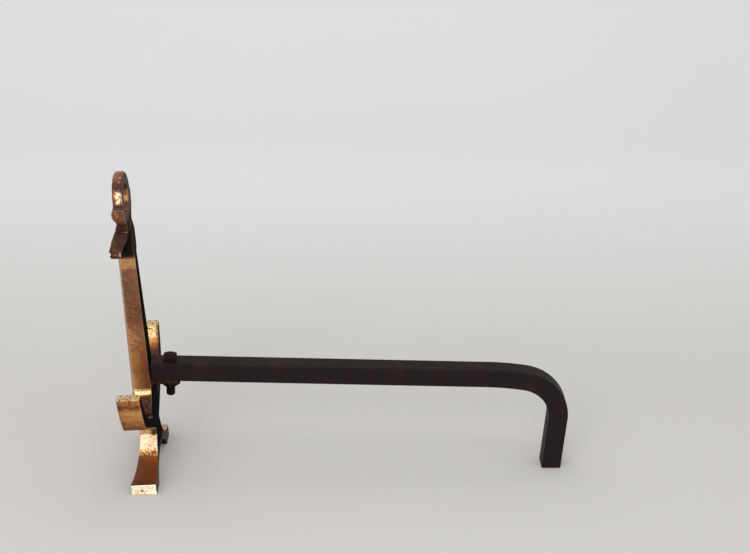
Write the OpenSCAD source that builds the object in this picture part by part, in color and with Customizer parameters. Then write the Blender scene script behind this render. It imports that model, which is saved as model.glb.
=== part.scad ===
// Andiron: a brass front cast in one piece, with a ring, a drooping crosspiece, a tapered shank,
// crescent arms and two splayed feet, bolted to a square iron bar that bends down to a rear leg.
// Millimetres, +Z up, the front faces -Y and the bar runs towards +Y.

/* [Casting] */
// Forward lean of the casting's flat back, degrees
cast_lean = 3.6; // [2.5:0.1:4.5]
// Radius of the arms' outer edge
arm_outer_r = 76.3; // [74:0.1:78]
// Height of the outer edge's centre
arm_outer_z = 119.8; // [118:0.1:121]
// How much smaller the radius of the arms' inner edge is
arm_thin = 8.3; // [7:0.1:9]
// How much higher the inner edge's centre is
arm_lift = 11.2; // [10:0.1:12.5]
// Height of the arms' flat ends
arm_tip_z = 113.9; // [108:0.1:118]
// Depth of the arms, front to back
arm_depth = 20.4; // [18:0.1:22]
// How far under the outer circle the two straight lower edges of the arms would meet
keel_drop = 5.1; // [3.5:0.1:6.5]
// Slope of the arms' straight lower edges, degrees
keel_slope = 31; // [28:0.1:33]
// Bevel along the arms' edges
arm_bevel = 1.4; // [0.8:0.1:2]
// Radius of the inside corner between arm and shank
crown_fillet_r = 18; // [14:0.5:19]

/* [Shank] */
// Half width of the shank at its lower station
shank_half_low = 14.1; // [12.5:0.1:15]
// Half width of the shank at its upper station
shank_half_top = 6.9; // [6:0.1:8]
// Thickness of the shank at its lower station
shank_thick_low = 17.8; // [16:0.1:19]
// Thickness of the shank at its upper station
shank_thick_top = 15.2; // [14:0.1:16]
// Bevel along the shank's two front edges
shank_bevel = 1.8; // [1:0.1:2.5]

/* [Feet] */
// Half the span over the two toes
toe_span_half = 52.4; // [48:0.1:56]
// Height of each toe's end face
toe_height = 11.2; // [10:0.1:13]
// Depth of a toe at its end face
toe_depth = 23; // [21:0.1:24.5]
// Depth of the foot where it leaves the crown
foot_root_depth = 15.4; // [14:0.1:17]
// Radius of the foot's hollow top sweep
foot_sweep_r = 43; // [40:0.5:46]
// Height of the arch between the feet
arch_z = 21; // [17:0.5:24]
// Length of the flat sole under each toe
sole_len = 18; // [12:0.2:20]
// Half width of the part under the crown that keeps the root depth
foot_root_half = 11; // [9:0.5:13]

/* [Ring] */
// Outer radius of the ring
ring_outer_r = 22.8; // [21:0.1:24]
// Radius of the ring's hole
ring_hole_r = 12.4; // [11:0.1:13.5]
// Height of the ring's centre
ring_z = 272.6; // [271.5:0.1:274]
// Distance of the ring's front from the casting's back plane
ring_front = 10.3; // [9.6:0.1:11]
// Distance of the ring's back from the casting's back plane
ring_back = 1.6; // [1:0.1:2]
// Rounding of the ring's edges
ring_round = 2.2; // [1:0.1:3]
// Width of the slit under the ring's hole
slit_w = 4.4; // [3:0.1:5.5]
// Half width of the neck under the ring
neck_half = 12.2; // [11.4:0.1:13]
// Distance of the neck's front from the casting's back plane
neck_front = 11.6; // [11.2:0.1:12]
// Radius of the swelling under the ring, seen from the side
swell_r = 12.5; // [11.5:0.1:13.5]
// Distance of the swelling's front from the casting's back plane
swell_reach = 12.5; // [12:0.1:13.2]
// How far the swelling stands out beyond the ring's flanks
swell_out = 0.5; // [0.3:0.1:1]

/* [Crosspiece] */
// Height of the crosspiece's top ledge
cross_top_z = 247.6; // [246.5:0.1:248.5]
// Half width of the crosspiece at its drooping ends
cross_half = 22.6; // [21:0.1:24]
// Height of the drooping ends' lower edge
cross_low_z = 224.2; // [223.6:0.1:224.8]
// Forward reach of the ends from the casting's back plane
cross_reach = 18.7; // [18:0.1:19.5]
// Radius of the bead along each end
bead_r = 2.6; // [2.2:0.1:3]
// Radius of the cross grooves on the front slope
groove_r = 1.1; // [0.7:0.1:1.3]
// Half width of the collar behind the crosspiece
collar_half = 11; // [10.4:0.1:11.6]

/* [Bar] */
// Side of the square bar
bar_size = 18; // [16:0.5:20]
// Rounding along the bar's edges
bar_round = 1.3; // [0.6:0.1:2]
// Height of the bar's centre line above the casting's foot line
bar_z = 103.6; // [101:0.1:106]
// Fall of the bar towards the rear, degrees
bar_fall = 1.3; // [0.8:0.1:1.8]
// Distance from the foot line to the start of the bend
bend_start = 304.4; // [290:0.5:315]
// Centre line radius of the easy first part of the bend
bend_r1 = 245; // [220:1:270]
// Angle of the easy first part of the bend, degrees
bend_a1 = 8.2; // [6:0.1:10]
// Centre line radius of the tight part of the bend
bend_r2 = 39; // [35:0.5:44]
// Inward lean of the rear leg, degrees
leg_lean = 3.3; // [2:0.1:4.5]
// Gap between the bar's end and the casting
bar_end_gap = 0.4; // [0.2:0.1:1]

/* [Bolt] */
// Diameter of the bolt
bolt_d = 8; // [7:0.5:9]
// Distance of the bolt from the foot line
bolt_y = 11.9; // [11.5:0.1:13.5]
// Radial clearance of the bolt in its holes
hole_gap = 0.5; // [0.3:0.1:0.8]
// Side of the square bolt head
head_w = 11.6; // [11:0.1:13]
// Height of the bolt head
head_h = 6.2; // [5:0.1:7]
// Length of the bolt under its head
bolt_len = 36.4; // [34:0.1:40]
// Side of the square nut
nut_w = 12.6; // [12:0.1:14]
// Height of the nut
nut_h = 4.6; // [4:0.1:6.5]
// Turn of the nut, degrees
nut_turn = 42; // [0:1:44]
// Radial play drawn between nut and bolt
thread_gap = 0.1; // [0.05:0.01:0.2]
// Thickness of the lug under the bar
lug_t = 3.2; // [3:0.1:5]
// Distance of the lug's rear end from the bolt
lug_tail = 7.5; // [6.5:0.1:9]
// Radius of the hollow corner under the lug
lug_fillet_r = 6; // [4:0.5:7]

/* [Hidden] */
$fn = 96;
big = 400;
eps = 0.01;

// The arms: a crescent between two circles, and the crown at its lowest point
arm_inner_r = arm_outer_r - arm_thin;
arm_inner_z = arm_outer_z + arm_lift;
crown_low = arm_outer_z - arm_outer_r;
keel_z = crown_low - keel_drop;
back_bevel = 0.4;
keel_bevel = 0.8 * arm_bevel;

// Stations on the shank, in the casting's own frame
st_low = 60;
st_fillet = 95;
st_top = 200;
shank_from = crown_low + 8.5;
shank_to = cross_top_z - 2.6;
half_rate = (shank_half_low - shank_half_top) / (st_top - st_low);
thick_rate = (shank_thick_low - shank_thick_top) / (st_top - st_low);
function half_at(z) = shank_half_low - half_rate * (z - st_low);
function thick_at(z) = shank_thick_low - thick_rate * (z - st_low);

// Inside corner between arm and shank: tangent to the shank's side and to the inner edge
fil_x = half_at(st_fillet) + crown_fillet_r;
fil_drop = sqrt(pow(arm_inner_r - crown_fillet_r, 2) - fil_x * fil_x);
fil_z = arm_inner_z - fil_drop;
fil_k = arm_inner_r / (arm_inner_r - crown_fillet_r);

// Hollow sweep on top of the foot, level just past the toe's end
sweep_x = toe_span_half + 1.6;
sweep_z = toe_height + foot_sweep_r - 0.1;

// Arch between the feet: a circle through the arch's top and the inner ends of the soles
sole_in = toe_span_half - sole_len;
arch_r = (sole_in * sole_in + arch_z * arch_z) / (2 * arch_z);

// The foot reaches up into the crown
foot_top = crown_low + 6.5;

// The swelling under the ring
swell_z = ring_z - 8.1;
swell_top = ring_z - 0.4;

// Foremost point of the crosspiece, and the bead under it
cross_h = cross_top_z - cross_low_z;
nose_z = cross_low_z + 0.34 * cross_h;
bead_y = -(cross_reach - 0.3 - bead_r);
bead_z = cross_low_z + bead_r;

// The bar is a little fuller where it was bent, and each length reaches into the next
fuller = 0.04;
lap = 0.5;
lap_a = lap / bend_r1 * 180 / PI;

// Where things stand along the object: the foot line is the casting's back at floor level
foot_u = 0.6;
bend1_y = bend_start - bend_r1 * sin(bar_fall);
bend1_z = bar_z - bend_start * tan(bar_fall) - bend_r1 * cos(bar_fall);
mid_a = 90 - bar_fall - bend_a1;
bend2_y = bend1_y + (bend_r1 - bend_r2) * cos(mid_a);
bend2_z = bend1_z + (bend_r1 - bend_r2) * sin(mid_a);
rear_u = bend2_y + bend_r2 + bar_size / 2 + 2 * fuller;
front_u = foot_u - cross_reach * cos(cast_lean) - nose_z * sin(cast_lean);
shift = (rear_u + front_u) / 2;
straight = bend_start / cos(bar_fall);

// Bar's front end: clear of the leaning back plane by bar_end_gap at the bar's lower edge
end_z = bar_z - bar_size / 2;
bar_from = foot_u - end_z * tan(cast_lean) + bar_end_gap;
lug_from = bar_from - 6;

brass = [0.72, 0.53, 0.29];
iron = [0.13, 0.11, 0.11];
steel = [0.17, 0.15, 0.14];

// Frames -------------------------------------------------------------------------------------

// The casting's frame: back plane y = 0, leaning forward about the foot line
module cast_frame() {
    translate([0, foot_u - shift, 0])
        rotate([cast_lean, 0, 0])
            children();
}

// The bar's frame: its centre line is y, falling to the rear
module bar_frame() {
    translate([0, -shift, bar_z])
        rotate([-bar_fall, 0, 0])
            children();
}

// A front view (x, z) drawn out towards the front by d, starting at depth s
module front_view(d, s = 0) {
    translate([0, -s, 0])
        rotate([90, 0, 0])
            linear_extrude(height = d)
                children();
}

// A side view (y, z) drawn out to w on each side of the middle
module side_view(w) {
    translate([-w, 0, 0])
        rotate([90, 0, 90])
            linear_extrude(height = 2 * w)
                children();
}

// Both halves of something drawn on the +X side
module both() {
    children();
    mirror([1, 0, 0]) children();
}

// Everything above the floor
module above_floor() {
    intersection() {
        children();
        translate([-big / 2, -big, 0]) cube([big, 2 * big, big]);
    }
}

// Casting ------------------------------------------------------------------------------------

// Disc across the object, bevelled at both rims
module rim_disc(r, d, c) {
    rotate([90, 0, 0])
        rotate_extrude()
            polygon([[0, 0], [r - c, 0], [r, c], [r, d - c], [r - c, d], [0, d]]);
}

// Cutter for a hole across the object, flared by b at the back and by c at the front
module rim_cutter(r, d, b, c) {
    translate([0, 1, 0])
        rotate([90, 0, 0])
            rotate_extrude()
                polygon([
                    [0, 0], [r + b + 1, 0], [r, b + 1], [r, d - c + 1],
                    [r + c + 1, d + 2], [0, d + 2]
                ]);
}

// Everything under an arm's straight lower edge, with both rims bevelled
module under_arm(d, c) {
    translate([0, 0, keel_z])
        rotate([0, -keel_slope, 0])
            translate([-big / 4, 0, 0])
                rotate([90, 0, 90])
                    linear_extrude(height = big)
                        polygon([
                            [1, c + 1], [-c, 0], [c - d, 0], [-d - 1, c + 1],
                            [-d - 1, -big / 4], [1, -big / 4]
                        ]);
}

// The two arms: a crescent with straight lower edges, cut level at the tips
module arms() {
    difference() {
        translate([0, 0, arm_outer_z]) rim_disc(arm_outer_r, arm_depth, arm_bevel);
        translate([0, 0, arm_inner_z]) rim_cutter(arm_inner_r, arm_depth, arm_bevel, arm_bevel);
        both() under_arm(arm_depth, keel_bevel);
        translate([-big / 2, -big / 2, arm_tip_z]) cube([big, big, big]);
    }
}

// Hollow corner that carries the shank's side into the arm
module crown_corners() {
    both()
        intersection() {
            difference() {
                front_view(30)
                    polygon([
                        [0, shank_from], [0, fil_z], [fil_x, fil_z],
                        [fil_x * fil_k, arm_inner_z - fil_drop * fil_k]
                    ]);
                translate([fil_x, 0, fil_z]) rim_cutter(crown_fillet_r, thick_at(fil_z), back_bevel, shank_bevel);
            }
            shank_side();
        }
}

// Side of the shank: a flat back and a front that thickens downwards
module shank_side() {
    side_view(30)
        polygon([
            [-thick_at(shank_from), shank_from], [0, shank_from],
            [0, shank_to], [-thick_at(shank_to), shank_to]
        ]);
}

// Half space beyond the bevel on the shank's front edge
module bevel_space() {
    rate = half_rate + thick_rate;
    translate([half_at(st_low) - shank_bevel, -thick_at(st_low), st_low])
        rotate([0, acos(rate / sqrt(2 + rate * rate)), -45])
            translate([-big / 2, -big / 2, 0])
                cube([big, big, big]);
}

// Tapered shank, wider and thicker towards the crown
module shank() {
    difference() {
        intersection() {
            front_view(30)
                polygon([
                    [-half_at(shank_from), shank_from], [half_at(shank_from), shank_from],
                    [half_at(shank_to), shank_to], [-half_at(shank_to), shank_to]
                ]);
            shank_side();
        }
        both() bevel_space();
    }
}

// Two feet: hollow sweeps above, an arch between them and flat soles below
module feet_front() {
    difference() {
        translate([-toe_span_half, -4])
            square([2 * toe_span_half, foot_top + 4]);
        for (s = [-1, 1])
            translate([s * sweep_x, sweep_z])
                circle(r = foot_sweep_r);
        for (s = [-1, 1])
            translate([s * (sweep_x + 0.05), sweep_z + 30])
                square([2 * foot_sweep_r, 60], center = true);
        translate([0, arch_z - arch_r])
            circle(r = arch_r);
    }
}

module feet() {
    intersection() {
        front_view(30) feet_front();
        translate([0, 0, -10])
            linear_extrude(height = foot_top + 30)
                polygon([
                    [-toe_span_half, -toe_depth], [-foot_root_half, -foot_root_depth],
                    [foot_root_half, -foot_root_depth], [toe_span_half, -toe_depth],
                    [toe_span_half, 0], [-toe_span_half, 0]
                ]);
    }
}

// Ring with rounded edges
module ring_section() {
    w = ring_outer_r - ring_hole_r;
    t = ring_front - ring_back;
    translate([ring_round, 0]) square([w - 2 * ring_round, t]);
    translate([0, ring_round]) square([w, t - 2 * ring_round]);
    for (a = [ring_round, w - ring_round])
        for (b = [ring_round, t - ring_round])
            translate([a, b]) circle(r = ring_round);
}

module ring() {
    translate([0, -ring_back, ring_z])
        rotate([90, 0, 0])
            rotate_extrude()
                translate([ring_hole_r, 0])
                    ring_section();
}

// Neck: the ring's two ends come down side by side, with a swelling across them
module neck_front_view() {
    w = ring_outer_r;
    n = neck_half;
    waist = cross_top_z + 0.1 * w;
    difference() {
        polygon([
            [-n, cross_top_z - 3], [n, cross_top_z - 3], [n, waist], [0.66 * w, waist + 0.14 * w],
            [0.83 * w, ring_z - 0.69 * w], [0.93 * w, ring_z - 0.51 * w],
            [0.99 * w, ring_z - 0.29 * w], [w + swell_out, swell_top],
            [-w - swell_out, swell_top], [-0.99 * w, ring_z - 0.29 * w],
            [-0.93 * w, ring_z - 0.51 * w], [-0.83 * w, ring_z - 0.69 * w],
            [-0.66 * w, waist + 0.14 * w], [-n, waist]
        ]);
        translate([0, ring_z]) circle(r = ring_hole_r + ring_round);
    }
}

module neck() {
    intersection() {
        front_view(30) neck_front_view();
        side_view(30)
            difference() {
                union() {
                    translate([-neck_front, cross_top_z - 3])
                        square([neck_front, 6]);
                    translate([-ring_front, cross_top_z])
                        square([ring_front, ring_z - cross_top_z]);
                    translate([swell_r - swell_reach, swell_z]) circle(r = swell_r);
                }
                translate([-ring_back, cross_low_z])
                    square([30, 100]);
            }
    }
}

// Crosspiece: front and side views of the two drooping ends
module cross_front() {
    h = cross_half;
    k = cross_h;
    top = cross_top_z;
    low = cross_low_z;
    polygon([
        [-0.1, top], [neck_half + 0.8, top], [0.74 * h, top - 0.12 * k], [0.89 * h, top - 0.35 * k],
        [h, low + 0.32 * k], [h, low + 0.1 * k], [0.93 * h, low], [0.62 * h, low],
        [0.56 * h, low + 0.11 * k], [-0.1, low + 0.22 * k]
    ]);
}

module cross_side() {
    f = cross_reach;
    k = cross_h;
    top = cross_top_z;
    low = cross_low_z;
    difference() {
        union() {
            polygon([
                [-0.6 * f, top], [-0.74 * f, top - 0.14 * k], [-0.86 * f, top - 0.33 * k],
                [-0.95 * f, top - 0.56 * k], [-f, nose_z], [-f, nose_z - 0.11 * k],
                [-0.95 * f, bead_z + bead_r], [bead_y, low], [-0.47 * f, low],
                [-0.44 * f, low + 0.24 * k], [-0.37 * f, low + 0.4 * k],
                [-0.28 * f, low + 0.51 * k], [-0.16 * f, low + 0.62 * k],
                [-0.12 * f, low + 0.72 * k], [-0.12 * f, top]
            ]);
            translate([bead_y, bead_z]) circle(r = bead_r);
        }
        for (p = [[-0.7 * f, top - 0.08 * k], [-0.81 * f, top - 0.25 * k], [-0.915 * f, top - 0.46 * k]])
            translate(p) circle(r = groove_r);
        translate([-f + 0.1, bead_z + bead_r + 0.5]) circle(r = groove_r);
    }
}

// Collar that carries the crosspiece on the shank
module collar() {
    c = collar_half;
    f = cross_reach;
    k = cross_h;
    top = cross_top_z;
    low = cross_low_z;
    end = low - 0.21 * k;
    intersection() {
        front_view(30)
            polygon([
                [0.55 * c, top], [0.76 * c, top - 0.13 * k], [0.98 * c, top - 0.34 * k],
                [c, top - 0.61 * k], [0.93 * c, low + 0.08 * k], [0.76 * c, low - 0.15 * k],
                [0.58 * c, end], [-0.58 * c, end], [-0.76 * c, low - 0.15 * k],
                [-0.93 * c, low + 0.08 * k], [-c, top - 0.61 * k], [-0.98 * c, top - 0.34 * k],
                [-0.76 * c, top - 0.13 * k], [-0.55 * c, top]
            ]);
        side_view(30)
            polygon([
                [-0.8 * f, end - 1], [0, end - 1], [0, top], [-0.59 * f, top], [-0.8 * f, top - 0.28 * k]
            ]);
    }
}

module crosspiece() {
    intersection() {
        both() front_view(30) cross_front();
        side_view(30) cross_side();
    }
    collar();
}

// Lug that carries the bar, with its hollow corner, in the bar's frame
module lug() {
    top = -bar_size / 2;
    tail = bolt_y + lug_tail;
    w = bar_size - 0.6;
    face = bar_from - bar_end_gap;
    intersection() {
        translate([-w / 2, lug_from, top - lug_t])
            cube([w, tail - lug_from, lug_t]);
        union() {
            translate([0, bolt_y, top - lug_t - 1])
                cylinder(r = w / 2 + 1.2, h = lug_t + 2);
            translate([-w, lug_from - 1, top - lug_t - 1])
                cube([2 * w, bolt_y - lug_from + 1, lug_t + 2]);
        }
    }
    difference() {
        translate([-w / 2, lug_from, top - lug_t - lug_fillet_r])
            cube([w, face - lug_from + lug_fillet_r, lug_fillet_r + eps]);
        translate([-w, face + lug_fillet_r, top - lug_t - lug_fillet_r])
            rotate([0, 90, 0])
                cylinder(r = lug_fillet_r, h = 2 * w);
    }
}

module front_casting() {
    color(brass)
        difference() {
            above_floor()
                union() {
                    cast_frame() {
                        arms();
                        crown_corners();
                        shank();
                        feet();
                        crosspiece();
                        difference() {
                            union() {
                                ring();
                                neck();
                            }
                            front_view(30, -1)
                                translate([-slit_w / 2, cross_top_z + 0.6])
                                    square([slit_w, ring_z - cross_top_z - 6]);
                        }
                    }
                    bar_frame() lug();
                }
            bar_frame()
                translate([0, bolt_y, -bar_size])
                    cylinder(r = bolt_d / 2 + hole_gap, h = bar_size);
        }
}

// Bar ----------------------------------------------------------------------------------------

// Section of the bar, grown by g on every side
module bar_section(g = 0) {
    s = bar_size + 2 * g;
    r = bar_round;
    square([s - 2 * r, s], center = true);
    square([s, s - 2 * r], center = true);
    for (a = [-1, 1])
        for (b = [-1, 1])
            translate([a * (s / 2 - r), b * (s / 2 - r)]) circle(r = r);
}

// Straight run of the bar from here along y
module run(l) {
    rotate([-90, 0, 0])
        linear_extrude(height = l)
            bar_section();
}

// Bend downwards from here by angle a about a centre r below
module bend(r, a, g) {
    translate([0, 0, -r])
        rotate([90, 0, 90])
            rotate([0, 0, 90 - a])
                rotate_extrude(angle = a)
                    translate([r, 0])
                        bar_section(g);
}

// The frame at the end of such a bend
module after_bend(r, a) {
    translate([0, 0, -r])
        rotate([-a, 0, 0])
            translate([0, 0, r])
                children();
}

module log_bar() {
    bend_a2 = 90 + leg_lean - bar_fall - bend_a1;
    color(iron)
        difference() {
            above_floor()
                bar_frame() {
                    translate([0, bar_from, 0]) run(straight + lap - bar_from);
                    translate([0, straight, 0]) {
                        bend(bend_r1, bend_a1 + lap_a, fuller);
                        after_bend(bend_r1, bend_a1) {
                            bend(bend_r2, bend_a2, 2 * fuller);
                            after_bend(bend_r2, bend_a2)
                                translate([0, -lap, 0])
                                    run(bend2_z + 20);
                        }
                    }
                }
            bar_frame()
                translate([0, bolt_y, -bar_size])
                    cylinder(r = bolt_d / 2 + hole_gap, h = 2 * bar_size);
        }
}

// Bolt and nut -------------------------------------------------------------------------------

// Square block with its corners turned off at the top, down from radius t * w
module turned_square(w, h, t, slope) {
    top_r = w * t;
    intersection() {
        translate([-w / 2, -w / 2, 0]) cube([w, w, h]);
        rotate_extrude()
            polygon([[0, 0], [w, 0], [w, h - (w - top_r) * slope], [top_r, h], [0, h]]);
    }
}

module bolt() {
    tip = 1.2;
    r = bolt_d / 2;
    color(steel)
        bar_frame()
            translate([0, bolt_y, bar_size / 2]) {
                turned_square(head_w, head_h, 0.36, 0.55);
                translate([0, 0, -bolt_len])
                    rotate_extrude()
                        polygon([[0, 0], [r - tip, 0], [r, tip], [r, bolt_len + 1], [0, bolt_len + 1]]);
            }
}

module nut() {
    color(steel)
        bar_frame()
            translate([0, bolt_y, -bar_size / 2 - lug_t])
                rotate([180, 0, nut_turn])
                    difference() {
                        turned_square(nut_w, nut_h, 0.5, 0.42);
                        translate([0, 0, -1])
                            cylinder(r = bolt_d / 2 + thread_gap, h = nut_h + 2);
                    }
}

front_casting();
log_bar();
bolt();
nut();
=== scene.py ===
# %% [markdown]
# # An andiron of worn brass and black iron
# The object is one andiron: a cast brass front like a small anchor, and a square iron bar bolted
# behind it. All four pieces come from the CAD model, in metres, with the floor at Z = 0. What is
# left for Blender is the finish: golden brass with brown patina and soot, and fire-blackened iron.

# %% Load the model
import math
import bpy
from mathutils import Matrix, Vector

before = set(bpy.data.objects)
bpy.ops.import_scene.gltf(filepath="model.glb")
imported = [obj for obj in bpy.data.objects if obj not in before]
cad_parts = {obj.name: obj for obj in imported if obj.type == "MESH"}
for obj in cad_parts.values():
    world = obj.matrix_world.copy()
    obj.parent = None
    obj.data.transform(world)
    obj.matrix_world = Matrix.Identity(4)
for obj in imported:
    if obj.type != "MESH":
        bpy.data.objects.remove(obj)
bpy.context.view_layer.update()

# %% [markdown]
# ## A workbench for finishes
# A procedural finish is a sum of masks, and masks are easiest to read as plain arithmetic. Long
# chains of boxes in the node editor hide it, so one small class stands for a socket, and its
# operators add the Math nodes.

# %% Sockets that can be added and multiplied
class Wire:
    def __init__(self, finish, socket):
        self.finish = finish
        self.socket = socket

    def math(self, operation, *values):
        return self.finish.add("ShaderNodeMath", {"operation": operation}, dict(enumerate(values)))

    def __add__(self, other): return self.math("ADD", self, other)
    def __radd__(self, other): return self.math("ADD", other, self)
    def __sub__(self, other): return self.math("SUBTRACT", self, other)
    def __rsub__(self, other): return self.math("SUBTRACT", other, self)
    def __mul__(self, other): return self.math("MULTIPLY", self, other)
    def __rmul__(self, other): return self.math("MULTIPLY", other, self)
    def __abs__(self): return self.math("ABSOLUTE", self)


print("a Wire can be added, subtracted and multiplied")

# %% [markdown]
# Every other node comes from one method, `add`. It takes a node's type, then its settings, then
# the numbers or wires of its sockets. The same class makes the material, counts its nodes and puts
# it on the pieces.

# %% One method for every other node
class Finish:
    def __init__(self, name):
        self.material = bpy.data.materials.new(name)
        self.material.use_nodes = True
        self.tree = self.material.node_tree
        self.tree.nodes.clear()

    def add(self, kind, settings=None, sockets=None, out=0):
        node = self.tree.nodes.new(kind)
        for key, value in (settings or {}).items():
            setattr(node, key, value)
        for key, value in (sockets or {}).items():
            if isinstance(value, Wire):
                self.tree.links.new(value.socket, node.inputs[key])
            else:
                node.inputs[key].default_value = value
        return Wire(self, node.outputs[out]) if node.outputs else None

    def note(self, made):
        print(made + ":", len(self.tree.nodes), "nodes so far")

    def show(self, shader):
        self.add("ShaderNodeOutputMaterial", {}, {0: shader})

    def apply(self, *names):
        for name in names:
            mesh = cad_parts[name].data
            mesh.materials.clear()
            mesh.materials.append(self.material)
        print(self.material.name, "has", len(self.tree.nodes), "nodes, on", ", ".join(names))


# %% [markdown]
# ## Brass: where things are on the casting
# Wear follows the shape. Ends and knees that hands and cloths reach are bright, from polish and
# from painted highlights; hollows keep their brown patina, and the back that faces the fire is
# black. So the finish first finds out where it is. The casting leans forward, and a Mapping node
# turns
# positions into its own frame: x across, y from 0 on the flat back to -23 at the front of the toes,
# and z up from the foot line, all in millimetres, as a maker would give them. Vectors need nodes of
# their own: `split` takes one apart, and `stretch` multiplies its three numbers.

# %% Place and direction
def split(vector):
    return [vector.finish.add("ShaderNodeSeparateXYZ", {}, {0: vector}, out=i) for i in range(3)]


def stretch(vector, factors):
    return vector.finish.add("ShaderNodeVectorMath", {"operation": "MULTIPLY"},
                             {0: vector, 1: factors})


CAST_LEAN = math.radians(3.6)
FOOT_LINE = -0.1735
TO_MM = (1000, 1000, 1000)

brass = Finish("worn_brass")
spot = brass.add("ShaderNodeTexCoord", {}, {}, out="Object")
spot = brass.add("ShaderNodeMapping", {"vector_type": "TEXTURE"},
                 {"Vector": spot, "Location": (0, FOOT_LINE, 0), "Rotation": (CAST_LEAN, 0, 0)})
spot = stretch(spot, TO_MM)
x, y, z = split(spot)
nx, ny, nz = split(brass.add("ShaderNodeNewGeometry", {}, {}, out="Normal"))
print("foot line at", FOOT_LINE, "m, lean", round(math.degrees(CAST_LEAN), 2), "degrees")

# %% [markdown]
# ### Soft steps, bands and noise
# Masks are made of soft steps. `rise` goes from 0 to 1, and it falls where its second limit is the
# lower one. `near` is a band: full within `half` of the centre, and gone after `soft` more.
# `noise` drifts slowly, over about `size` millimetres.

# %% Steps, bands and noise
def rise(value, low, high):
    return value.finish.add("ShaderNodeMapRange", {"interpolation_type": "SMOOTHSTEP"},
                            {"Value": value, "From Min": low, "From Max": high})


def near(value, centre, half, soft):
    return 1 - rise(abs(value - centre), half, half + soft)


def noise(vector, size, detail=3.0, roughness=0.5):
    return vector.finish.add("ShaderNodeTexNoise", {}, {
        "Vector": vector, "Scale": 1.0 / size, "Detail": detail, "Roughness": roughness})


# %% [markdown]
# Most masks are a height, a distance from the middle and a direction, multiplied. Wear never stops
# at a ruled line, so `wander` is the height with a noise added, and a band made with it has ragged
# borders. `steadier` wanders less. `around` is 1 on faces that look neither forward nor back, and
# `inward` on faces that look at the middle plane.

# %% Height, distance and direction
out_x = abs(x)
side_on = abs(nx)
around = 1 - rise(abs(ny), 0.5, 0.8)
inward = rise(x * nx, 0.0, -10.0)
inner_flank = (1 - rise(out_x, 38, 44)) * rise(side_on, 0.5, 0.7)
wander = z + 5.0 * (noise(spot, 4.0, 2.0) - 0.5)
steadier = 0.6 * z + 0.4 * wander
brass.note("directions")

# %% [markdown]
# ### Feet
# The ends of the toes and the knees above them are the brightest places, polished and given painted
# highlights. Between them lies a sloping top, painted red-brown: a little patina on both feet, and
# painted shade that makes it much browner on the foot towards the camera than on the far one, whose
# toe has a painted highlight on top. The arch under the crown is painted black, for soot and shade.

# %% Masks on the feet
KNEE_Z = 35.0
KNEE_RIM_Z = 26.5

toe_end = rise(out_x, 51.4, 52.0) * rise(side_on, 0.6, 0.9) * (1 - rise(z, 14, 18))
toe_top_highlight = rise(nz, 0.75, 0.9) * (1 - rise(z, 16, 19)) * rise(x, -38, -42)
knee = near(wander, KNEE_Z, 5.2, 2.0) * inner_flank
knee_rim = near(wander, KNEE_RIM_Z, 1.5, 1.5) * inner_flank
one_sided = 0.1 + 0.9 * rise(x, -40, -10)
slope_patina_and_shade = (1 - rise(z, 25.5, 28.5)) * around * one_sided * (1 - 0.8 * toe_end)
arch_soot_and_shade = inward * (1 - rise(z, 22, 28)) * (1 - rise(side_on, 0.97, 0.99))
brass.note("foot masks")

# %% [markdown]
# ### Shank
# The flanks are flat and the front edges bevelled. At the foot of the shank a painted highlight, a
# bright band, lies in the hollow corner, and under it painted shade, a dark tongue, runs down to
# the crown. `head` is all that stands above the shank.

# %% Masks on the shank
CORNER_Z = 86.7

head = rise(z, 214, 226)
on_flank = rise(side_on, 0.75, 0.95) * rise(z, 78, 84) * (1 - head) * (1 - rise(out_x, 16, 20))
bevel = rise(side_on, 0.4, 0.55) * rise(ny, -0.4, -0.6)
bevel = bevel * rise(z, 88, 92) * (1 - head) * (1 - rise(out_x, 20, 24))
low_shank = 1 - rise(z, 125, 165)
corner_highlight = near(steadier, CORNER_Z, 2.2, 0.9)
corner_highlight = corner_highlight * (1 - rise(out_x, 34, 38)) * rise(side_on, 0.6, 0.8)
tongue_shade = 1 - rise(steadier, 81.5, 84.0)
tongue_shade = tongue_shade * rise(z, 58, 62) * (1 - rise(out_x, 38, 42)) * around
brass.note("shank masks")

# %% [markdown]
# ### Arms
# The flat ends were beaten and polished, and so was the inside next to them. The outer faces are
# duller, with a paler lip at the top, and the roots of the arms are darkened inside by painted
# shade.

# %% Masks on the arms
ARM_END_Z = 113.5
ARM_INSIDE_Z = 108.3
ARM_LIP_Z = 109.5

arm_zone = rise(out_x, 40, 46) * rise(z, 56, 62)
arm_end = rise(nz, 0.6, 0.8) * near(z, ARM_END_Z, 1.0, 1.5) * rise(out_x, 50, 56)
arm_inside = near(wander, ARM_INSIDE_Z, 4.7, 3) * rise(out_x, 50, 56)
arm_inside = arm_inside * inward * rise(side_on, 0.6, 0.8)
arm_face = rise(x * nx, 15, 30) * rise(out_x, 44, 50) * rise(z, 60, 66)
arm_lip = near(wander, ARM_LIP_Z, 2.5, 3.0) * arm_face
arm_root_shade = (1 - rise(wander, 90, 101)) * rise(z, 60, 64) * rise(out_x, 34, 38) * inward
brass.note("arm masks")

# %% [markdown]
# ### Ring
# The ring is brown, but a painted highlight lies on each flank, above a crease darkened by painted
# shade. Inside the eye only the middle of the wall has a painted highlight, and the rest painted
# shade.

# %% Masks on the ring
NECK_Z = 251.0
EYE_Z = 270
CREASE_Z = 272.4
SPOT_Z = 280.0

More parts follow.
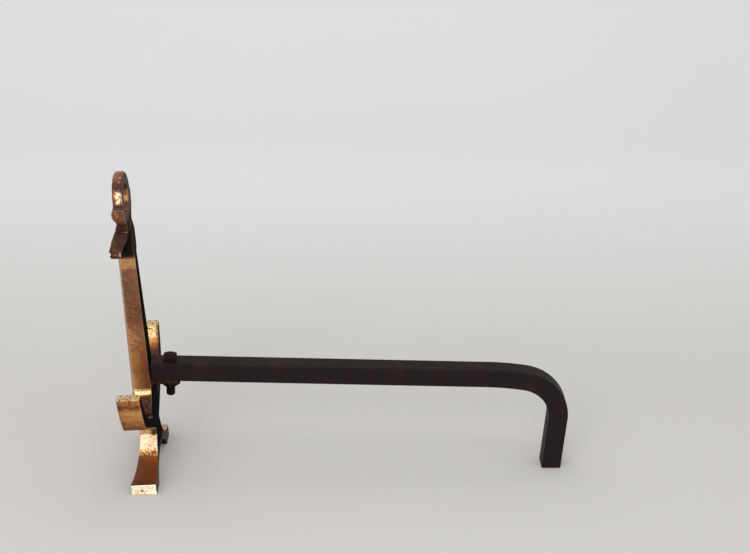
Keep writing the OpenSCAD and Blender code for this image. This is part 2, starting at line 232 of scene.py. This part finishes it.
ring_highlight = near(wander, SPOT_Z, 3.2, 2.7) * rise(out_x, 17.5, 19.5)
ring_highlight = ring_highlight * rise(y + 0.9 * (wander - z), -7.8, -5.8)
crease_shade = near(0.4 * z + 0.6 * wander, CREASE_Z, 0.7, 1.3) * rise(out_x, 18, 20)
in_eye = inward * (1 - rise(out_x, 13.5, 15)) * rise(z, 255, 260)
eye_highlight = near(wander, EYE_Z, 4.0, 4.0) * in_eye
eye_shade = (1 - near(wander, EYE_Z, 4.5, 3.5)) * in_eye
neck = near(z, NECK_Z, 2.5, 2.5)
brass.note("ring masks")

# %% [markdown]
# ### Crosspiece
# It is the darkest part of the front. Its two end faces carry a thin bright line that turns up like
# a hook, where the bead was rubbed, and that is also a painted highlight on its rim; a painted
# highlight runs as another bright line along the ledge above. The collar behind it is painted
# black, for soot and for the shade under the crosspiece.

# %% Masks on the crosspiece
COLLAR_Z = 231
NAPE_Z = 241
LEDGE_Z = 247
HOOK_Z = 228.4

cross = rise(z, 221, 224) * (1 - rise(z, 247.8, 250)) * (0.35 + 0.65 * rise(out_x, 8, 17))
nape = near(z, NAPE_Z, 4, 5) * rise(y, -15, -9) * cross
collar_soot_and_shade = near(z, COLLAR_Z, 12, 3) * (1 - rise(out_x, 12.0, 13.5))
collar_soot_and_shade = collar_soot_and_shade * rise(y, -15.2, -13.5) * rise(side_on, 0.3, 0.6)
end_face = rise(side_on, 0.8, 0.95) * rise(out_x, 21, 22) * rise(z, 222, 224)
hook_stem = near(z - HOOK_Z + 0.28 * (y + 13), 0, 0.05, 0.6)
hook_stem = hook_stem * rise(noise(spot, 2.2, 1.0), 0.42, 0.52)
hook_stem = hook_stem * rise(y, -18.2, -17.2) * (1 - rise(y, -11, -10))
hook_tip = near(y, -9.6, 0.3, 0.5) * near(z, 228.5, 1.6, 1.0)
hook_rub_and_highlight = end_face * (hook_stem + hook_tip)
ledge_highlight = near(out_x, 15.0, 0.3, 0.6) * near(z, LEDGE_Z, 2, 1) * rise(nz, 0.2, 0.5) * rise(y, -13, -4)
brass.note("crosspiece masks")

# %% [markdown]
# ### Edges and hollows
# No edge of a worn piece is sharp. A Bevel node gives the normal that a rounded edge would have,
# and where it parts from the plain normal there is an edge. Rubbing never reaches the inside
# corners. Ambient Occlusion finds them, and they are taken out of the edges, because a Bevel node
# marks a concave crease as well.

# %% Edges and hollows
def rounding(finish, radius):
    plain = finish.add("ShaderNodeNewGeometry", {}, {}, out="Normal")
    rounded = finish.add("ShaderNodeBevel", {"samples": 6}, {"Radius": radius})
    agree = finish.add("ShaderNodeVectorMath", {"operation": "DOT_PRODUCT"},
                       {0: plain, 1: rounded}, out="Value")
    return rounded, 1 - agree


EDGE_RADIUS = 0.0014
HOLLOW_REACH = 0.012

round_normal, parting = rounding(brass, EDGE_RADIUS)
open_air = brass.add("ShaderNodeAmbientOcclusion", {"samples": 8}, {"Distance": HOLLOW_REACH},
                     out="AO")
hollow = 1 - rise(open_air, 0.35, 0.9)
edge = rise(parting, 0.004, 0.06) * (1 - hollow)
print("edges rounded by", EDGE_RADIUS * 1000, "mm, hollows felt over", HOLLOW_REACH * 1000, "mm")

# %% [markdown]
# ### Polished, highlit and hammered places
# Two sums of these masks are used again and again: how far a place is polished and painted with a
# highlight, and how far it is full of small dents. `clamp` keeps such a sum between 0 and 1.

# %% Two sums of masks
def clamp(value):
    return value.finish.add("ShaderNodeClamp", {}, {0: value})


polish_and_highlight = clamp(0.92 * toe_end + 0.74 * knee + corner_highlight + 0.7 * arm_end + 0.75 * arm_inside
                 + 0.62 * ring_highlight + 0.40 * eye_highlight)
hammered = clamp(arm_end + arm_inside + 0.22 * toe_end + 0.15 * knee + 0.6 * ring_highlight
                 + 0.3 * corner_highlight + 0.5 * knee_rim + 0.5 * arm_lip)
brass.note("wear masks")

# %% [markdown]
# ### Cast skin, file marks and pits
# Several reliefs lie over each other: a slow swell and a fine grain, as from a sand mould; lines
# across the shank's flanks, as if a file had squared them, with the waves of its chatter; and
# dents in the ends of the arms, as from a hammer.

# %% Uneven surface
swell = noise(spot, 7.0, 2.0) - 0.5
grain = noise(spot, 0.9, 4.0, 0.6) - 0.5
dents = noise(spot, 2.0, 1.5) - 0.5
filed = noise(stretch(spot, (0.5, 0.28, 1.0)), 1.5, 2.0, 0.6) - 0.5
chatter = z.math("SINE", 2.7 * z + 5.0 * noise(spot, 9.0, 1.0))
brass.note("swell, grain, dents and file marks")

# %% [markdown]
# Pits are another matter, round and apart from each other. They come from Voronoi cells: each cell
# has a random colour, and only a share of the cells keep a spot. One small dark dimple sits in each
# toe's end.

# %% Pits
DIMPLE_Y, DIMPLE_Z = -13.2, 5.0


def speckles(vector, size, share, radius):
    cells = {"Vector": vector, "Scale": 1.0 / size}
    distance = vector.finish.add("ShaderNodeTexVoronoi", {}, cells, out="Distance")
    colour = vector.finish.add("ShaderNodeTexVoronoi", {}, cells, out="Color")
    chosen = 1 - rise(split(colour)[0], share - 0.05, share + 0.05)
    return chosen * (1 - rise(distance, radius * 0.6, radius))


pits = speckles(spot, 2.3, 0.20, 0.22)
specks = speckles(spot, 1.7, 0.35, 0.26)
big_pits = speckles(spot, 8.0, 0.22, 0.085)
off_y, off_z = y - DIMPLE_Y, z - DIMPLE_Z
dimple = toe_end * (1 - rise(off_y * off_y + 2.5 * off_z * off_z, 0.8, 3.0))
brass.note("pits and dimples")

# %% [markdown]
# The Bump node's distance will be one millimetre, so these heights are in millimetres too.

# %% Height of the surface
height = (0.20 + 0.15 * head) * swell + 0.05 * grain + (0.9 + 0.6 * arm_end) * hammered * dents
height = height + (0.16 * filed + 0.05 * chatter * (1 - rise(y, -12, -7))) * on_flank
height = height - 0.22 * pits - 0.4 * big_pits - 0.5 * dimple
brass.note("relief")

# %% [markdown]
# ### Patina and painted light
# One number says how brown the brass is at a point: about 0 where it is rubbed to gold, about 1 in
# the darkest corners. It carries painted light as well: painted highlights bring it down and
# painted shade pushes it up. It starts from noises of several sizes. Clouds are 19 mm wide and
# blotches 3, and lines and streaks lie across the flanks of the shank and the faces of the arms, as
# the marks of a file do.

# %% Patina from noise alone
clouds = noise(stretch(spot, (1, 1, 0.7)), 19.0, 2.0, 0.5) - 0.5
blotches = noise(spot, 3.0, 4.0, 0.65) - 0.5
lines = noise(stretch(spot, (0.4, 0.30, 1.0)), 1.3, 3.0, 0.7) - 0.5
streaks = noise(stretch(spot, (0.3, 0.22, 1.0)), 4.5, 2.0, 0.5) - 0.5
patina_and_painted_light = 0.53 + 0.60 * clouds + (0.60 + 0.9 * head) * blotches
patina_and_painted_light = patina_and_painted_light + 0.80 * lines * (on_flank * (1 - 0.55 * low_shank) + 0.7 * arm_face)
brass.note("patina begun")

# %% [markdown]
# The feet: the slopes stay brown, with painted shade on the near foot and a painted highlight on
# the far toe's top, and the knee is closed at its top by a dark line, a bright band and painted
# shade at its rear, painted light and shade of its curve.

# %% Patina of the feet
knee_top = 0.22 * near(z, 41.6, 0.6, 1.0) - 0.25 * near(z, 43, 2, 3)
knee_top = knee_top + 0.7 * near(wander, 44, 2.5, 2.5) * rise(y, -7, -3)
patina_and_painted_light = patina_and_painted_light + 0.30 * slope_patina_and_shade - 0.30 * toe_top_highlight - 0.06 * toe_end
patina_and_painted_light = patina_and_painted_light + 0.15 * knee + knee_top * inner_flank
brass.note("feet added")

# %% [markdown]
# The shank: brown in its upper middle and bright just under the collar, a painted reflection. Lower
# down it runs from pale at the front to brown at the rear, and it is pale again at its foot.

# %% Patina of the shank
across = 0.14 * rise(y, -10, -2) * (1 - rise(z, 150, 200))
across = across + 0.34 * rise(y, -8, -1) * (1 - rise(z, 100, 135))
across = across - 0.14 * (1 - rise(y, -15, -7)) * (1 - rise(z, 105, 200))
across = across - 0.34 * (1 - rise(z, 92, 112)) - 0.04 * near(z, 140, 6, 12)
along = 0.05 + 0.26 * near(z, 184, 14, 26) - 0.22 * near(wander, 213.5, 4.5, 4)
front_half = (1 - rise(y, -11, -7)) * (1 - 0.6 * low_shank)
marks = (0.06 * chatter + 0.5 * specks) * front_half
patina_and_painted_light = patina_and_painted_light + (along + across + marks) * on_flank + 0.62 * tongue_shade - 0.16 * bevel
brass.note("shank added")

# %% [markdown]
# The arms: painted shade low down and along their front edge, with two thin bands under the lip,
# and painted shade in their roots.

# %% Patina of the arms
on_face = 0.34 * (1 - rise(z, 77, 86)) + 0.20 * (1 - rise(y, -20.5, -13)) - 0.10 + 0.65 * streaks
on_face = on_face + 0.12 * near(z, 105.2, 0.8, 2.0) - 0.20 * near(z, 95.5, 3.5, 5.0)
patina_and_painted_light = patina_and_painted_light + on_face * arm_face + 0.06 * arm_lip + 0.50 * arm_root_shade
brass.note("arms added")

# %% [markdown]
# The head: brown as a whole, with its crown line, neck and crosspiece darker still, painted shade
# in the crease and the eye, and painted highlights on the hook and the ledge.

# %% Patina of the ring and the crosspiece
patina_and_painted_light = patina_and_painted_light + 0.24 * head * (1 - ring_highlight) + 0.52 * cross + 0.24 * neck
patina_and_painted_light = patina_and_painted_light + 0.28 * near(wander, 288.8, 2.0, 2.5) - 0.12 * near(z, 294, 2, 2)
patina_and_painted_light = patina_and_painted_light + 0.6 * crease_shade + 0.50 * eye_shade - 1.1 * hook_rub_and_highlight - 0.9 * ledge_highlight
brass.note("head added")

# %% [markdown]
# Last come the rules that hold everywhere: polish and painted highlights are bright, edges are
# bright from wear and a painted highlight, hollows are dark, and in hammered places the dips are
# dark and the tops bright, a painted glint.

# %% Patina of edges, hollows and dents
dips = 1 - rise(dents, -0.14, -0.04)
tops = rise(dents, -0.02, 0.08)
edge_shine = (0.26 + 0.30 * head * rise(blotches, -0.1, 0.1)) * edge
edge_shine = edge_shine * (1 - 0.8 * arm_zone) * (1 - 0.5 * bevel)
patina_and_painted_light = patina_and_painted_light - 0.72 * polish_and_highlight + 0.35 * hollow - edge_shine
patina_and_painted_light = patina_and_painted_light + 0.90 * (hammered - 0.5 * knee_rim - 0.1 * knee) * dips
patina_and_painted_light = patina_and_painted_light - (0.5 * knee_rim + 0.4 * arm_end) * tops
brass.note("patina done")

# %% [markdown]
# ### Colour of the brass
# One warm metal runs from pale gold where it is rubbed to nearly black where it is not, so the
# colours stand in that order. The palest colour is for painted highlights. `russet` says where the
# brown leans to red: in drifts 10 mm wide, more so low on the shank, on the rear of the foot slopes
# and on the arms' faces. A Math node would turn a colour grey, so `mix` uses a Mix node. It has
# inputs for every kind of data, and those numbered 6, 7 and 2 are for colours.

# %% Gold and brown
def mix(factor, low, high, blend="MIX"):
    finish = next(w.finish for w in (factor, low, high) if isinstance(w, Wire))
    first, second = [c if isinstance(c, Wire) else (*c, 1.0) for c in (low, high)]
    return finish.add("ShaderNodeMix", {"data_type": "RGBA", "blend_type": blend},
                      {0: factor, 6: first, 7: second}, out=2)


HIGHLIGHT_PALE = (0.84, 0.75, 0.57)
GOLD = (0.91, 0.68, 0.33)
WARM = (0.51, 0.265, 0.125)
ORANGE = (0.55, 0.255, 0.095)
BROWN = (0.225, 0.105, 0.060)
RUSSET = (0.26, 0.095, 0.040)
DEEP = (0.125, 0.054, 0.033)
DARK = (0.045, 0.022, 0.015)

drifts = noise(spot, 10.0, 2.0) + 0.18 * (1 - rise(z, 95, 165)) - 0.08 * rise(z, 150, 200)
russet = rise(drifts, 0.44, 0.64) + 0.6 * slope_patina_and_shade * rise(y, -15, -9) + 0.6 * arm_face
highlight_paleness = toe_end + 0.85 * knee + 0.2 * corner_highlight + 0.8 * ring_highlight + 0.1 * arm_end
colour = mix(rise(patina_and_painted_light, -0.05, 0.42), mix(highlight_paleness, GOLD, HIGHLIGHT_PALE), mix(russet, WARM, ORANGE))
colour = mix(rise(patina_and_painted_light, 0.42, 0.72), colour, mix(russet, BROWN, RUSSET))
colour = mix(rise(patina_and_painted_light + 0.3 * nape, 0.72, 1.05), colour,
             mix(rise(blotches - 0.16 * nape, -0.10, 0.14), DARK, DEEP))
brass.note("main colours mixed")

# %% [markdown]
# Three touches lie over that. The bevels are a dull tan. A red filter, multiplied in, deepens the
# slopes of the feet, the arms and the lowest shank. Pits and the dimple are filled with dirt.

# %% Bevels, red filter and dirt
TAN = (0.50, 0.34, 0.25)
RED_FILTER = (1.0, 0.72, 0.48)
PIT_DIRT = (0.05, 0.02, 0.01)
DEEP_DIRT = (0.03, 0.012, 0.008)

redder = slope_patina_and_shade * rise(y, -18, -10) * (1 - toe_end) * (1 - rise(z, 22, 26))
redder = redder + 0.35 * arm_face + 0.4 * (1 - rise(z, 98, 125)) * on_flank
colour = mix(0.5 * bevel, colour, TAN)
colour = mix(redder, colour, RED_FILTER, "MULTIPLY")
colour = mix(0.7 * pits, colour, PIT_DIRT)
colour = mix(0.85 * big_pits + 0.9 * dimple, colour, DEEP_DIRT)
brass.note("brass coloured")

# %% [markdown]
# ### Soot
# The back, the lug behind it, the collar and the arch are black, and at the collar and the arch
# that black is painted shade as well as soot. The film is thinner and browner behind the ring and
# behind the feet, a thinner film and a painted sheen at once, and its edges are paler, a painted
# sheen;
# behind the crown it has a trace of verdigris.

# %% Soot
SOOT = (0.010, 0.0085, 0.0085)
VERDIGRIS = (0.011, 0.019, 0.019)
SMOKE_AND_SHEEN = (0.135, 0.103, 0.082)

back = rise(ny, 0.75, 0.92)
behind = rise(y, 0.2, 1.2)
soot = back * (1 - 0.35 * edge) + 0.94 * behind * (1 - 0.4 * rise(blotches, 0.02, 0.10))
soot = clamp(soot + 0.95 * collar_soot_and_shade * (1 - 0.5 * edge) + 0.9 * arch_soot_and_shade)
green = near(z, 60, 14, 12) * rise(noise(spot, 5.0), 0.45, 0.6)
thin_soot_and_sheen = 0.20 * head * (1 - collar_soot_and_shade) + (0.72 + 1.2 * blotches + 0.6 * edge) * rise(z, 250, 262)
thin_soot_and_sheen = thin_soot_and_sheen + 0.9 * (1 - rise(z, 14, 30)) * (1 - arch_soot_and_shade)
soot_colour = mix(thin_soot_and_sheen, mix(green, SOOT, VERDIGRIS), SMOKE_AND_SHEEN)
brass.note("soot")

# %% [markdown]
# ### The brass shader
# Clean brass is a bare metal, so Metallic is 1 there and falls as the patina thickens. Soot is
# another matter, a dull black film with no gloss, so it has a shader of its own, and the soot mask
# mixes the two. `relief` lays the heights on the rounded normal.

# %% Relief and shader
def relief(finish, heights, rounded):
    return finish.add("ShaderNodeBump", {}, {
        "Height": heights, "Distance": 0.001, "Strength": 1.0, "Normal": rounded})


def paint(finish, tint, metallic, roughness, normal, gloss):
    return finish.add("ShaderNodeBsdfPrincipled", {}, {
        "Base Color": tint, "Metallic": metallic, "Roughness": roughness, "Normal": normal,
        "Specular IOR Level": gloss})


# %% [markdown]
# The ends of the toes and the bands in the corners are crowned by wear, so their normals are
# tipped up a little, most at the very bottom.

# %% Worn brass
tilt = toe_end * (0.34 + 0.18 * (1 - rise(z, 0, 6))) + 0.14 * corner_highlight
upwards = brass.add("ShaderNodeCombineXYZ", {}, {2: tilt})
crowned = brass.add("ShaderNodeVectorMath", {"operation": "ADD"}, {0: round_normal, 1: upwards})
crowned = brass.add("ShaderNodeVectorMath", {"operation": "NORMALIZE"}, {0: crowned})
bumpy = relief(brass, height, crowned)
rough = 0.36 + 0.20 * knee + 0.08 * ring_highlight - 0.08 * arm_end - 0.04 * polish_and_highlight
rough = rough + 0.16 * rise(patina_and_painted_light, 0.3, 1.0)
metallic = 1 - 0.5 * rise(patina_and_painted_light, 0.55, 1.05)
metal = paint(brass, colour, metallic, rough, bumpy, gloss=0.07)
film = paint(brass, soot_colour, 0.0, 0.8, bumpy, gloss=0.0)
brass.show(brass.add("ShaderNodeMixShader", {}, {0: soot, 1: metal, 2: film}))
brass.apply("front_casting")

# %% [markdown]
# ## Black iron
# The bar looks like iron that was worked hot and has been in the fire since: a thin scale,
# brown-black, nearly matt, a touch redder where it has begun to rust, and a shade lighter on its
# rubbed edges. One function makes it, because the bolt and nut need it again in other tones.

# %% Iron shader
RUBBED_IRON = (0.070, 0.056, 0.050)
IRON_EDGE_RADIUS = 0.0008


def black_iron(name, scale_colour, rust_colour, rust_share, gloss):
    iron = Finish(name)
    place = stretch(iron.add("ShaderNodeTexCoord", {}, {}, out="Object"), TO_MM)
    drift = noise(place, 26.0, 3.0)
    flakes = noise(stretch(place, (1, 0.35, 1)), 2.2, 4.0, 0.65)
    rust = rise(0.6 * drift + 0.4 * flakes, 0.62 - rust_share, 0.72 - 0.5 * rust_share)
    knocks = noise(stretch(place, (1, 0.5, 1)), 9.0, 2.0) - 0.5
    rounded, apart = rounding(iron, IRON_EDGE_RADIUS)
    rubbed = rise(apart, 0.01, 0.10) * rise(drift, 0.35, 0.6)
    tint = mix(0.8 * rubbed, mix(rust, scale_colour, rust_colour), RUBBED_IRON)
    skin = relief(iron, 0.16 * knocks + 0.05 * (flakes - 0.5), rounded)
    iron.show(paint(iron, tint, 0.0, 0.50 + 0.14 * flakes, skin, gloss))
    return iron


# %% [markdown]
# The bolt and its nut are browner than the bar, and duller, with a little more rust.

# %% Bar, bolt and nut
BAR_SCALE = (0.0125, 0.0075, 0.0078)
BAR_RUST = (0.024, 0.0115, 0.009)
BOLT_SCALE = (0.0085, 0.0036, 0.0031)
BOLT_RUST = (0.020, 0.0075, 0.005)

bar_iron = black_iron("fire_black_iron", BAR_SCALE, BAR_RUST, rust_share=0.12, gloss=0.12)
bolt_iron = black_iron("bolt_iron", BOLT_SCALE, BOLT_RUST, rust_share=0.16, gloss=0.08)
bar_iron.apply("log_bar")
bolt_iron.apply("bolt", "nut")

# %% [markdown]
# ## Floor, light and camera
# The photo is a plain studio view: a pale paper sweep, a big soft window behind the camera, and
# little else. The sweep is a floor that curves up far behind the andiron, so no horizon shows. It
# is built from its side profile, drawn out to both sides.

# %% Paper sweep
REACH = 9.0
CURVE_FROM = -0.9
CURVE_RADIUS = 1.1
CURVE_STEPS = 16
WALL_TOP = 3.2


def paper_sweep():
    profile = [(REACH, 0.0), (CURVE_FROM, 0.0)]
    for step in range(1, CURVE_STEPS + 1):
        a = math.radians(90 * step / CURVE_STEPS)
        profile.append((CURVE_FROM - CURVE_RADIUS * math.sin(a),
                        CURVE_RADIUS - CURVE_RADIUS * math.cos(a)))
    profile.append((CURVE_FROM - CURVE_RADIUS, WALL_TOP))
    points = [(px, py, pz) for px, pz in profile for py in (-REACH, REACH)]
    faces = [(2 * i, 2 * i + 1, 2 * i + 3, 2 * i + 2) for i in range(len(profile) - 1)]
    mesh = bpy.data.meshes.new("paper_sweep")
    mesh.from_pydata(points, [], faces)
    mesh.polygons.foreach_set("use_smooth", [True] * len(faces))
    return bpy.data.objects.new("paper_sweep", mesh)


sweep = paper_sweep()
bpy.context.scene.collection.objects.link(sweep)
print("paper sweep:", len(sweep.data.vertices), "points")

# %% [markdown]
# The paper is a warm grey under the andiron and grows paler towards the back, a painted gradient of
# light, with hardly any unevenness, so that nothing in it draws the eye.

# %% Pale paper
NEAR_PAPER = (0.625, 0.60, 0.57)
FAR_PAPER = (0.815, 0.81, 0.795)
MID_GREY = (0.5, 0.5, 0.5)

paper = Finish("pale_paper")
place = paper.add("ShaderNodeTexCoord", {}, {}, out="Object")
far = rise(split(place)[0], -0.10, -0.80)
tone = mix(far, NEAR_PAPER, FAR_PAPER)
tone = mix(0.05 * noise(place, 0.4, 2.0), tone, MID_GREY)
paper.show(paper.add("ShaderNodeBsdfPrincipled", {}, {"Base Color": tone, "Roughness": 0.9}))
sweep.data.materials.append(paper.material)
print("paper has", len(paper.tree.nodes), "nodes")

# %% [markdown]
# Most of the light is an even, faintly blue world. A lamp as big as a window, above and behind the
# camera, adds direction, and a weak one overhead fills the tops.

# %% World and lamps
def soft_light(name, place, target, width, height, power):
    lamp = bpy.data.lights.new(name, "AREA")
    lamp.shape, lamp.size, lamp.size_y = "RECTANGLE", width, height
    lamp.energy = power
    holder = bpy.data.objects.new(name, lamp)
    holder.location = place
    holder.rotation_euler = (Vector(target) - Vector(place)).to_track_quat("-Z", "Y").to_euler()
    bpy.context.scene.collection.objects.link(holder)
    print(name, "lamp of", power, "W")


world = bpy.data.worlds.new("studio")
world.use_nodes = True
sky = world.node_tree.nodes["Background"]
sky.inputs["Color"].default_value = (0.96, 0.98, 1.0, 1)
sky.inputs["Strength"].default_value = 0.70
bpy.context.scene.world = world
soft_light("window", (2.2, -0.5, 1.25), (0, 0, 0.1), 2.2, 1.5, 28)
soft_light("ceiling", (0.1, 0.0, 1.9), (0, 0, 0), 1.6, 1.6, 8)
bpy.context.scene.view_settings.view_transform = "Standard"

# %% [markdown]
# ### The camera
# It stands 0.73 m above the floor and looks down by 25 degrees along the andiron's width, with a
# lens of 67 mm on a 36 mm sensor. The photo holds the lens only loosely: a longer one from further
# away would give nearly the same picture of a slightly wider andiron. The columns of the camera's
# matrix are its right, its up and its back.

# %% Camera
STAND = (1.12847, -0.0164, 0.7328)
ROLL = math.radians(1.043)

forward = Vector((-0.9028, 0.0324, -0.4288)).normalized()
level = forward.cross(Vector((0, 0, 1))).normalized()
upright = level.cross(forward)
right = level * math.cos(ROLL) + upright * math.sin(ROLL)
upward = upright * math.cos(ROLL) - level * math.sin(ROLL)
lens = bpy.data.cameras.new("photo_view")
lens.sensor_fit, lens.sensor_width, lens.lens = "HORIZONTAL", 36.0, 67.2
camera = bpy.data.objects.new("photo_view", lens)
turn = Matrix((right, upward, -forward)).transposed().to_4x4()
camera.matrix_world = Matrix.Translation(STAND) @ turn
bpy.context.scene.collection.objects.link(camera)
bpy.context.scene.camera = camera
print("camera looks down", round(math.degrees(math.asin(-forward.z)), 2), "degrees")
